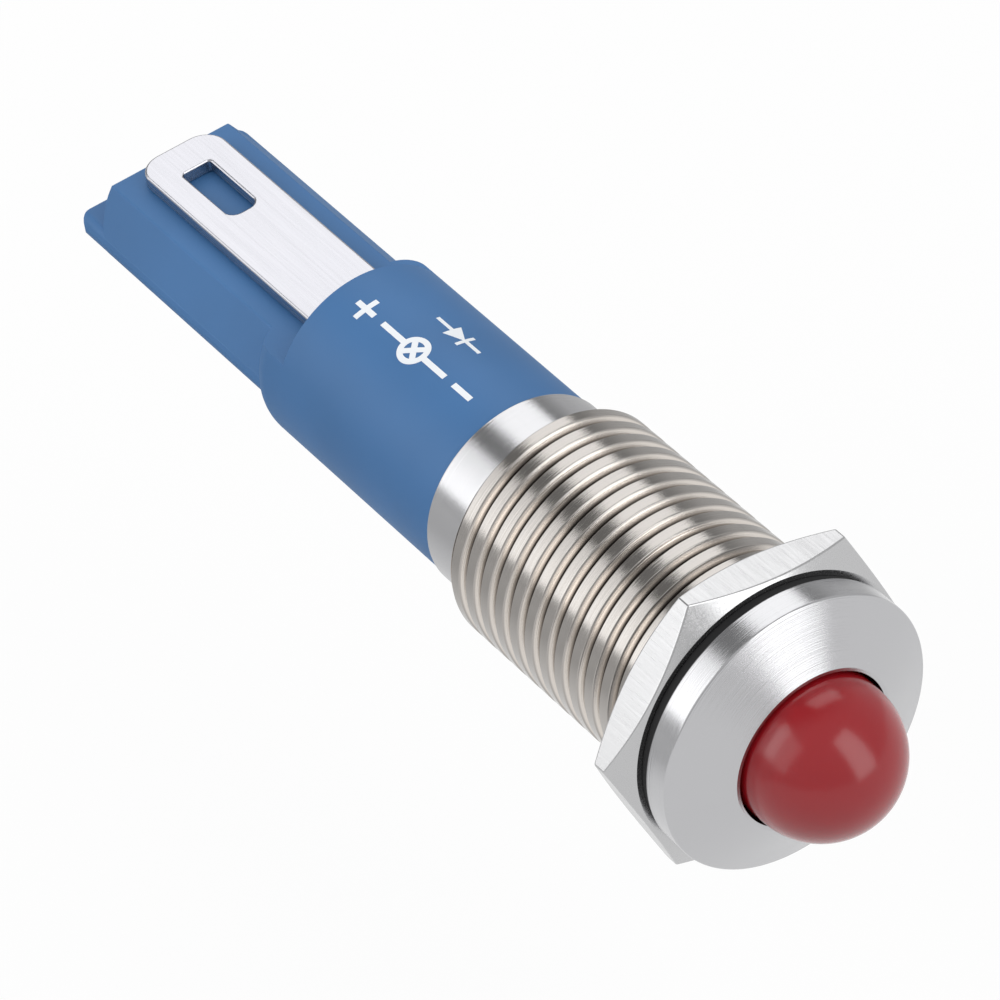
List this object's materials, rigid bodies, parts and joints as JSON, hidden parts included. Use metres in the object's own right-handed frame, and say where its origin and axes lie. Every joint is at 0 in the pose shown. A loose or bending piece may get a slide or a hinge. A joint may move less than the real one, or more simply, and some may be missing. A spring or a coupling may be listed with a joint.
{
  "type": "panel pilot light",
  "caption": "Small round panel lamp: a red dome in a plated flange, a threaded barrel with gasket and thin hex nut, and a blue rear housing whose tongue carries slotted solder tabs.",
  "frame": {"origin": "centre of the flange's rear face, where the barrel's axis crosses the panel's front face", "axes": "-Y the way the lamp looks, +Y along the barrel to the rear and the solder tabs, +Z towards the positive tab"},
  "size_m": [0.0112, 0.0373, 0.0106],
  "materials": {
    "nickel_plated_brass": "turned brass with satin nickel plating",
    "nickel_plated_nut": "bright nickel-plated brass",
    "gasket_rubber": "black nitrile rubber",
    "red_epoxy": "diffused red epoxy, polished",
    "tinned_lead": "tin-plated steel",
    "led_die": "semiconductor die",
    "gold_wire": "drawn gold wire",
    "white_nylon": "natural nylon",
    "blue_plastic": "satin moulded blue polyamide",
    "tinned_brass_tab": "tin-plated brass sheet",
    "sealing_resin": "cast epoxy resin",
    "board_laminate": "glass-epoxy laminate with solder mask",
    "component_black": "moulded component body",
    "solder": "solder"
  },
  "bodies": {
    "barrel": {"bezel_bushing": "nickel_plated_brass", "led_lens": "red_epoxy", "led_cathode_lead": "tinned_lead", "led_anode_lead": "tinned_lead", "led_chip": "led_die", "led_bond_wire": "gold_wire", "lens_seal": "gasket_rubber", "led_spacer": "white_nylon", "rear_housing": "blue_plastic", "housing_ring": "gasket_rubber", "terminal_positive": "tinned_brass_tab", "terminal_negative": "tinned_brass_tab", "potting": "sealing_resin", "circuit_board": "board_laminate", "series_resistor": "component_black", "resistor_caps": "tinned_lead", "protection_diode": "component_black", "diode_tabs": "tinned_lead", "solder_joints": "solder"},
    "gasket": {"panel_gasket": "gasket_rubber"},
    "nut": {"panel_nut": "nickel_plated_nut"}
  },
  "joints": [
    {"name": "nut_turn", "type": "hinge", "parent": "barrel", "child": "gasket", "pos_m": [0, 0, 0], "axis": [0, 1, 0], "range_deg": [0, 4320]},
    {"name": "nut_travel", "type": "slide", "parent": "gasket", "child": "nut", "axis": [0, 1, 0], "range_m": [0, 0.009]}
  ],
  "couplings": [
    {"joint": "nut_turn", "follows": "nut_travel", "rad_per_m": 8377.6}
  ]
}
